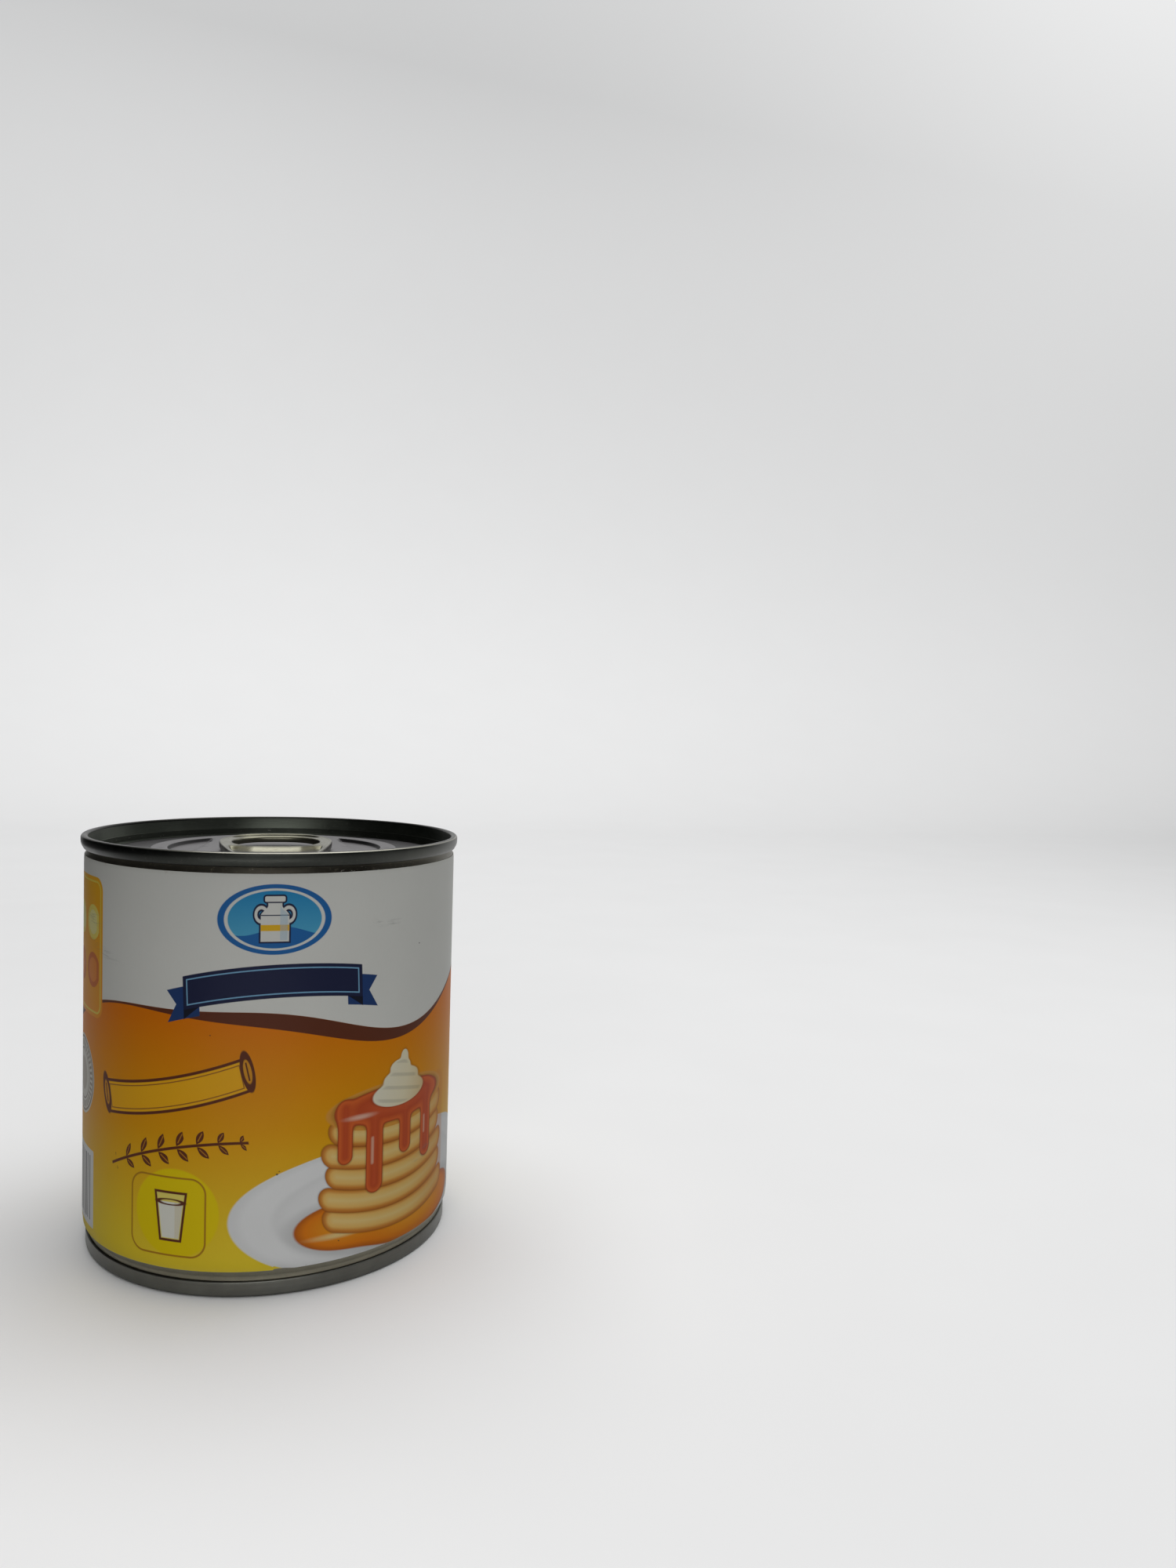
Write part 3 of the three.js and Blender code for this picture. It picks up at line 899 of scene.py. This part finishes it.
def print_plate(p):
    x, y = p.local(DISH_U, DISH_V)
    rim = p.ellipse(x, y, 32.5, 12.6)
    p.ink(rim, (0.74, 0.74, 0.73), 0.1)
    p.ink(rim + 0.7, (0.80, 0.80, 0.79), 0.5)
    p.shade(p.ramp(rim, -2.6, -3.4) * 0.5, 0.82)
    p.ink(rim + 3.6, (0.77, 0.77, 0.76), 0.8)
    left = p.ellipse(x + 10.5, y + 2.6, 10.5, 4.6)
    syrup = p.merge(left, p.ellipse(x - 6.0, y + 4.6, 17.0, 4.9), 2.5)
    p.shade(p.ramp(syrup, 1.6, 0.0), 0.80)
    amber = p.colours_along(syrup, [(-3.2, (0.77, 0.30, 0.02)), (-0.9, (0.72, 0.20, 0.010)),
                                    (0.0, (0.42, 0.10, 0.012))])
    p.ink(syrup, amber, 0.15)
    p.ink(p.ellipse(x + 12.5, y + 4.3, 4.6, 0.5), (0.80, 0.66, 0.30), 0.4, share=0.75)


def print_pile(p):
    for level, shift in enumerate(PANCAKE_SHIFTS):
        x, y = p.local(DISH_U + shift, DISH_V - 0.6 + PANCAKE_STEP * level)
        bowed = y + 2.9 - x * x * 0.0102
        cake = p.block(x, bowed, 16.4 - 0.3 * level, 2.25, 2.2)
        p.shade(p.ramp(cake, 0.32, -0.1), 0.55)
        crust = p.colours_along(cake, [(-2.2, (0.80, 0.58, 0.22)), (-1.1, (0.78, 0.47, 0.13)),
                                       (-0.55, (0.62, 0.25, 0.045)), (0.0, (0.40, 0.12, 0.02))])
        p.ink(cake, crust, 0.1)
    x, y = p.local(DISH_U, DISH_V)
    shaded_side = p.ramp(x, 1.0, 17.0) * p.mask(p.block(x, y - 8.0, 17.2, 12.5, 3.0), 0.6)
    p.lay(shaded_side * 0.42, (0.60, 0.20, 0.02))


def print_caramel(p):
    x, y = p.local(DISH_U, DISH_V + PILE_HEIGHT - 2.4)
    top = p.ellipse(x, y, 15.4, 4.4)
    p.ink(top, (0.66, 0.30, 0.05), 0.1)
    pool = p.ellipse(x, y - 0.1, 13.6, 3.6)
    for at, length, half_width in DRIPS:
        start = -3.0 + at * at * 0.011
        drop = p.block(x - at, y - (start - length / 2 + 2.0), half_width, length / 2 + 2.0, half_width)
        pool = p.merge(pool, drop, 1.7)
    gloss = p.colours_along(pool, [(-3.0, (0.62, 0.11, 0.035)), (-1.2, CARAMEL),
                                   (-0.35, (0.66, 0.13, 0.03)), (0.0, (0.30, 0.04, 0.015))])
    p.shade(p.ramp(pool, 0.4, 0.0), 0.7)
    p.ink(pool, gloss, 0.1)
    p.ink(p.ellipse(x + 8.6, y + 1.1, 2.6, 0.42), (0.80, 0.52, 0.40), 0.35, share=0.8)
    for at, height, half_width, half_height in DRIP_GLINTS:
        glint = p.block(x - at, y - height, half_width, half_height, half_width)
        p.ink(glint, (0.80, 0.50, 0.36), 0.25, share=0.7)


def print_cream(p):
    x, y = p.local(DISH_U + 0.8, DISH_V + PILE_HEIGHT - 0.6)
    dollop = p.ellipse(x, y, 6.8, 2.6)
    for at, height, half_width, half_height, blend in CREAM_TURNS:
        dollop = p.merge(dollop, p.ellipse(x - at, y - height, half_width, half_height), blend)
    cream = p.colours_along(x - y * 0.3, [(-6, (0.80, 0.76, 0.60)), (1, (0.80, 0.72, 0.50)),
                                          (7, (0.72, 0.55, 0.28))])
    p.shade(p.ramp(dollop, 0.4, 0.0), 0.72)
    p.ink(dollop, cream, 0.1)
    swirl = p.math("SINE", (y + x * 0.22) * 2.45)
    p.shade(p.ramp(swirl, 0.35, 1.0) * p.ramp(dollop, -0.1, -0.6), 0.80)


press(print_plate, print_pile, print_caramel, print_cream)

# %% [markdown]
# ### The emblem and the navy ribbon
# A milk churn stands on an oval, and a blank ribbon hangs under it. Symmetric shapes are drawn once,
# on the absolute value of x.

# %% Print the emblem and the ribbon
def print_emblem(p):
    x, y = p.local(0.0, 68.7)
    oval = p.ellipse(x, y, 10.0, 6.3)
    p.ink(oval, BLUE)
    p.ink(oval + 0.75, WHITE)
    sky = p.colours_along(y, [(-5.0, (0.10, 0.42, 0.62)), (5.0, LIGHT_BLUE)])
    p.ink(oval + 1.15, sky)
    hill = y + 2.1 - p.math("SINE", x * 0.42 + 0.9) * 0.8
    p.ink(p.most(hill, oval + 1.15), BLUE)
    side = abs(x)
    half_width = p.ramp(y, 0.7, 2.5, 2.45, 1.2)
    churn = p.most(side - half_width, abs(y + 0.35) - 3.6)
    handle = abs(p.ellipse(side - 2.35, y - 0.9, 0.95, 1.25)) - 0.24
    lid_block = p.block(x, y - 3.65, 1.75, 0.5, 0.3)
    whole = p.least(p.least(churn, lid_block), handle)
    p.ink(whole - 0.3, NAVY)
    p.ink(whole, WHITE)
    p.ink(p.most(churn, abs(y + 1.5) - 0.55), GOLD)
    p.ink(p.most(p.least(churn, lid_block), abs(y - 3.05) - 0.12), NAVY, 0.05)
    p.ink(p.most(churn, abs(y - 0.75) - 0.09), NAVY, 0.05)
    p.ink(p.most(churn + 0.25, 0.9 - x), (0.30, 0.48, 0.62), share=0.45)


def print_ribbon(p):
    x, y = p.local(0.0, 57.6, 2.5)
    side = abs(x)
    bowed = y + x * x * 0.0065
    low = bowed + 1.7
    tail = p.most(p.block(side - 16.8, low, 3.6, 2.9, 0.1), side - abs(low) * 0.62 - 17.6)
    p.ink(tail, (0.016, 0.045, 0.15))
    slant = (side - 13.2) * -0.57 - bowed - 2.95
    fold = p.most(p.most(13.2 - side, side - 16.2), p.most(bowed + 2.9, slant))
    p.ink(fold, (0.003, 0.004, 0.012))
    band = p.block(x, bowed, 16.2, 3.0, 0.15)
    p.ink(band, NAVY)
    p.line(band + 0.75, 0.11, (0.20, 0.42, 0.62))


press(print_emblem, print_ribbon)

# %% [markdown]
# ### The scroll, the sprig and the milk badge
# The brown things on the warm field are line work: a blank scroll, a sprig and a square round a
# glass of milk. The sprig's leaves are one leaf drawn in a strip that repeats along the stem, and
# the absolute value across the stem gives the leaf on the other side.

# %% Print the brown line work
BADGE_YELLOW = (0.80, 0.60, 0.006)


def print_scroll(p):
    x, y = p.local(-19.0, 36.6, 13)
    side = abs(x)
    bowed = y - x * x * 0.004
    roll = p.ellipse(side - 15.4, bowed - 0.5, 1.15, 3.7)
    sheet = p.block(x, bowed, 15.2, 3.1, 0.2)
    p.ink(sheet, (0.84, 0.42, 0.014))
    p.line(sheet + 0.2, 0.27, BROWN)
    p.line(sheet + 1.0, 0.10, (0.30, 0.11, 0.02))
    p.ink(roll, (0.62, 0.27, 0.02))
    p.line(roll + 0.2, 0.26, BROWN)
    p.lay(p.mask(abs(bowed - 0.5) - 1.7) * p.mask(abs(side - 15.4) - 0.14), BROWN)


def print_sprig(p):
    x, y = p.local(-18.0, 26.2, 13)
    bowed = y + x * x * 0.008 - 0.8
    stem = p.most(abs(bowed) - 0.26, abs(x + 0.4) - 14.6)
    step = 3.9
    cell = (x + 40.0) % step - step / 2
    size = 1.0 - x * x * 0.0026
    c, s = math.cos(math.radians(52)), math.sin(math.radians(52))
    out = abs(bowed)
    along = (cell * c + out * s) / size - 2.0
    across = (out * c - cell * s) / size
    leaf = p.most(abs(across) * 1.7 + along * along * 0.42 - 1.15, abs(x) - 13.6)
    p.ink(p.least(stem, leaf), BROWN)
    p.lay(p.mask(p.most(abs(across) - 0.1, abs(along) - 1.0)) * p.mask(leaf + 0.15), (0.48, 0.20, 0.02))


def print_badge(p):
    x, y = p.local(-18.2, 14.6)
    p.ink(p.ellipse(x - 0.9, y - 0.7, 8.3, 8.0), BADGE_YELLOW, 0.25)
    p.line(p.block(x + 0.9, y, 7.6, 7.1, 2.8), 0.17, (0.42, 0.20, 0.015))
    glass = p.most(abs(x) - y * 0.12 - 2.7, abs(y) - 4.5)
    milk = p.most(glass + 0.55, y - 2.6)
    p.ink(glass, (0.80, 0.68, 0.16))
    p.ink(milk, (0.80, 0.79, 0.70))
    p.ink(p.most(milk, 0.9 - x), (0.66, 0.58, 0.36), share=0.5)
    p.line(glass + 0.15, 0.23, BROWN)
    p.line(p.ellipse(x, y - 2.6, 2.5, 0.5), 0.12, BROWN)


press(print_scroll, print_sprig, print_badge)

# %% [markdown]
# ### The panels at the sides and the back
# Where the front ends come the side panels: an orange one with two rows of rounds, a round seal
# and a field of stripes. Two ruled tables stand at the back.

# %% Print the panels
ROUND_ROWS = [(4.6, (0.80, 0.66, 0.14), (0.80, 0.74, 0.32)),
              (-4.4, (0.58, 0.14, 0.02), (0.74, 0.24, 0.03))]
TABLES = [(84.0, 30.0, 15.0, 17.0, 10), (-88.0, 34.0, 17.0, 13.0, 6)]


def print_side_panel(p):
    x, y = p.local(-52.0, 60.6)
    panel = p.block(x, y, 15.5, 13.2, 2.6)
    p.ink(panel, p.colours_along(y, [(-13, (0.79, 0.30, 0.012)), (13, (0.79, 0.40, 0.012))]))
    p.line(panel + 0.9, 0.18, (0.80, 0.62, 0.10))
    cell_x = (x + 42.3) % 8.2 - 4.1
    for height, edge_colour, middle_colour in ROUND_ROWS:
        row = p.most(p.ellipse(cell_x, y - height, 3.3, 3.3), panel + 1.6)
        p.ink(row, edge_colour)
        p.ink(row + 1.0, middle_colour)


def print_seal(p):
    x, y = p.local(-47.5, 35.0)
    seal = p.ellipse(x, y, 7.6, 7.6)
    p.ink(seal, (0.66, 0.64, 0.58))
    p.line(seal + 0.6, 0.2, (0.25, 0.20, 0.16))
    angle = p.math("ARCTAN2", y, x)
    ticks = p.math("SINE", angle * 36.0)
    p.lay(p.mask(abs(seal + 1.7) - 0.6) * p.ramp(ticks, -0.2, 0.2), (0.30, 0.25, 0.20))
    p.line(seal + 2.8, 0.12, (0.25, 0.20, 0.16))
    p.ink(seal + 4.4, (0.50, 0.46, 0.40))


def print_stripes(p):
    x, y = p.local(-51.0, 14.3)
    panel = p.block(x, y, 11.0, 7.4, 0.3)
    p.ink(panel, (0.76, 0.76, 0.75))
    bars = p.math("SINE", x * 5.1) + p.math("SINE", x * 8.3 + 1.0) * 0.7
    p.lay(p.ramp(bars, 0.1, 0.35) * p.mask(panel + 1.2), (0.16, 0.16, 0.16))


def print_tables(p):
    for at, height, half_width, half_height, rows in TABLES:
        x, y = p.local(at, height)
        table = p.block(x, y, half_width, half_height, 0.8)
        p.ink(table, (0.80, 0.76, 0.60))
        p.line(table + 0.5, 0.14, BROWN)
        step = 2 * half_height / rows
        rule = abs((y + 60.0 * step + half_height) % step - step / 2) - 0.07
        column = abs(x - half_width * 0.35) - 0.07
        p.ink(p.most(rule, table + 1.6), BROWN, 0.04)
        p.ink(p.most(column, table + 1.6), BROWN, 0.04)


press(print_side_panel, print_seal, print_stripes, print_tables)

# %% [markdown]
# ### Paper, wear and gloss
# Last come the things no printer puts there. Offset print is faintly uneven and has a fine grain.
# The can has rubbed against others: grey scuffs, a few dark specks, a grimy line where the paper
# meets the seams. The sheet has a thin varnish, dulled where it is scuffed.

# %% Age the label
SCUFFS = [(-40.5, 66.0, 4.5, 1.6, -8), (-37.0, 60.6, 5.5, 0.9, -14), (23.0, 66.6, 1.6, 0.6, 10),
          (19.5, 66.8, 0.9, 0.5, -20), (33.0, 20.0, 5.0, 1.2, 24)]
SPECKS = [(1.0, 22.6, 0.16), (1.4, 23.1, 0.10), (-11.0, 47.9, 0.10), (30.4, 61.7, 0.12),
          (12.4, 8.6, 0.11)]


def wear(p):
    _, place = p.place()
    streaks = p.noise(p.vector(p.u * 0.25, p.v * 2.6, 0.0), 1.0, 5.0, 0.7)
    cloud = p.noise(place, 0.06, 3.0, 0.5)
    grain = p.noise(place, 9.0, 2.0, 0.7)
    fibre = p.noise(p.vector(p.u * 3.0, p.v * 0.7, 0.0), 1.0, 3.0, 0.6)
    tone = cloud * 0.10 + grain * 0.05 + fibre * 0.03 + 0.91
    p.colour = p.times(p.colour, tone)
    dulled = None
    for u, v, half_width, half_height, turn in SCUFFS:
        x, y = p.local(u, v, turn)
        here = p.ramp(p.ellipse(x, y, half_width, half_height), 0.5, -half_height)
        dulled = here if dulled is None else p.most(dulled, here)
    scuffed = dulled * p.ramp(streaks, 0.47, 0.62)
    p.lay(scuffed * 0.42, (0.22, 0.22, 0.21))
    for u, v, radius in SPECKS:
        x, y = p.local(u, v)
        p.ink(p.ellipse(x, y, radius * 1.3, radius), (0.03, 0.025, 0.02), 0.05, share=0.85)
    rub = p.ramp(p.noise(place, 0.35, 5.0, 0.75), 0.60, 0.75)
    edge = p.most(p.ramp(p.v, LABEL_LOW + 1.1, LABEL_LOW), p.ramp(p.v, LABEL_HIGH - 1.0, LABEL_HIGH))
    p.lay(edge * (rub * 0.4 + 0.06), (0.30, 0.26, 0.19))
    p.feed("Base Color", p.colour)
    p.feed("Roughness", grain * 0.08 + cloud * 0.10 + 0.38 + scuffed * 0.25)
    p.bump(fibre * 0.5 + grain * 0.5, 0.006)


press(wear)
label = make_piece(label_mesh(), "paper_label", [label_print.material], 50)
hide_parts("label")

# %% [markdown]
# ## The studio
# The can stands on a pale sweep: a floor that curves up into a wall behind it, so that no edge
# shows. A large soft light hangs behind and above for the lid and the floor, and a wide one in
# front and above lights the label. A low strip near the floor gives the foot of the can the light
# that a pale floor throws back, and a weak light at the right picks out the rim.

# %% Lay the floor and hang the lights
SWEEP_LEFT, SWEEP_WIDTH = -2.6, 5.6
SWEEP_FRONT, SWEEP_BACK = -1.6, 1.5
SWEEP_HEIGHT, SWEEP_BEND = 2.6, 0.7


def only_verts(geometry):
    return [item for item in geometry if isinstance(item, bmesh.types.BMVert)]


def sweep_mesh():
    """A floor line, bent up into a wall line and then drawn out sideways."""
    bm = bmesh.new()
    bend_start = SWEEP_BACK - SWEEP_BEND
    start = bm.verts.new((SWEEP_LEFT, SWEEP_FRONT, 0))
    corner = bm.verts.new((SWEEP_LEFT, bend_start, 0))
    bm.edges.new((start, corner))
    bent = bmesh.ops.spin(bm, geom=[corner], cent=(0, bend_start, SWEEP_BEND), axis=(1, 0, 0),
                          angle=math.pi / 2, steps=24, use_duplicate=False)["geom_last"]
    top = bmesh.ops.extrude_vert_indiv(bm, verts=only_verts(bent))["verts"]
    bmesh.ops.translate(bm, verts=top, vec=(0, 0, SWEEP_HEIGHT - SWEEP_BEND))
    made = bmesh.ops.extrude_edge_only(bm, edges=bm.edges[:])["geom"]
    bmesh.ops.translate(bm, verts=only_verts(made), vec=(SWEEP_WIDTH, 0, 0))
    bmesh.ops.recalc_face_normals(bm, faces=bm.faces)
    return bm


def paper_sweep():
    """Pale paper, with its far end lit from behind so that the background is even."""
    finish = Finish("studio_sweep", roughness=0.85, Specular_IOR_Level=0.1)
    (x, y, z), place = finish.place()
    cloud = finish.noise(place, 0.02, 2.0, 0.5)
    finish.feed("Base Color", finish.mix(cloud, (0.78, 0.78, 0.78), (0.81, 0.81, 0.81)))
    glow = finish.ramp(y, 250.0, 1400.0) * finish.ramp(z, 200.0, 2200.0, 0.75, 1.5)
    glow = glow * finish.ramp(x, 100.0, 1500.0, 1.0, 1.35)
    finish.feed("Emission Color", finish.vector(glow, glow, glow))
    finish.feed("Emission Strength", 0.45)
    return finish.material


sweep = new_object(sweep_mesh(), "studio_floor", [paper_sweep()])
sweep.visible_diffuse = False


def soft_light(name, place, target, size, power):
    """A soft white light at a place, facing a target. It lights the scene but isn't seen itself."""
    data = bpy.data.lights.new(name, "AREA")
    data.shape = "RECTANGLE"
    data.size, data.size_y = size
    data.energy = power
    lamp = bpy.data.objects.new(name, data)
    lamp.location = place
    lamp.rotation_euler = (Vector(target) - Vector(place)).to_track_quat("-Z", "Y").to_euler()
    lamp.visible_camera = False
    bpy.context.scene.collection.objects.link(lamp)
    print(f"{name}: {power} W, {size[0]} by {size[1]} m")


soft_light("top_light", (0.15, 0.2, 1.2), (0.1, 0.05, 0), (1.5, 1.1), 17.5)
soft_light("side_light", (1.15, -0.45, 0.75), (0, 0, 0.04), (0.8, 0.8), 0.5)
soft_light("front_light", (-0.2, -1.5, 0.62), (0, 0, 0.06), (1.4, 0.5), 5.6)
soft_light("floor_bounce", (-0.03, -0.172, 0.007), (0.0, -0.03, 0.012), (0.16, 0.012), 0.034)

# %% [markdown]
# A dark card stands at the left, out of the camera's sight. It darkens what the metal mirrors there,
# and it throws no shadow.

# %% Stand the dark card
card_place = (-0.24, -0.05, 0.3)
card_bm = bmesh.new()
bmesh.ops.create_grid(card_bm, x_segments=1, y_segments=1, size=0.5)
bmesh.ops.rotate(card_bm, verts=card_bm.verts, matrix=Matrix.Rotation(math.pi / 2, 3, "Y"))
bmesh.ops.translate(card_bm, verts=card_bm.verts, vec=card_place)
black_card = Finish("black_card", roughness=0.9, Base_Color=(0.01, 0.01, 0.01))
card = new_object(card_bm, "dark_card", [black_card.material])
card.visible_camera = False
card.visible_shadow = False
print("card at", [round(x, 2) for x in card_place])

# %% [markdown]
# The room adds a faint, slightly cool light from all sides. Colours are shown plainly, without the
# curve that imitates film.

# %% Set the surroundings
world = bpy.data.worlds.new("studio_world")
world.use_nodes = True
background = world.node_tree.nodes["Background"].inputs
background["Color"].default_value = (0.75, 0.78, 0.80, 1)
background["Strength"].default_value = 0.13
bpy.context.scene.world = world
bpy.context.scene.view_settings.view_transform = "Standard"
print(f"surroundings: strength {background['Strength'].default_value:.2f}")

# %% [markdown]
# ## The camera
# The camera's place was worked out from the can's rims in the photograph, which stand a little
# left of its middle. It looks slightly down, turned to the right and leaning a few degrees.

# %% Place the camera
PHOTO_HEIGHT = 2000
FOCAL_PIXELS = 1499.4
SENSOR = 36
CAMERA_PLACE = Vector((0, -0.249748, 0.105588))
CAMERA_RIGHT = Vector((0.96667, -0.25432, 0.02956))
CAMERA_BACK = Vector((-0.25561, -0.96524, 0.05448))

lens = bpy.data.cameras.new("photo_camera")
lens.sensor_width = SENSOR
lens.lens = SENSOR * FOCAL_PIXELS / PHOTO_HEIGHT
lens.clip_start = 0.01
camera = bpy.data.objects.new("photo_camera", lens)
camera_up = CAMERA_BACK.cross(CAMERA_RIGHT)
axes = Matrix((CAMERA_RIGHT, camera_up, CAMERA_BACK)).transposed()
camera.matrix_world = Matrix.Translation(CAMERA_PLACE) @ axes.to_4x4()
bpy.context.scene.collection.objects.link(camera)
bpy.context.scene.camera = camera
print(f"lens {lens.lens:.2f} mm")
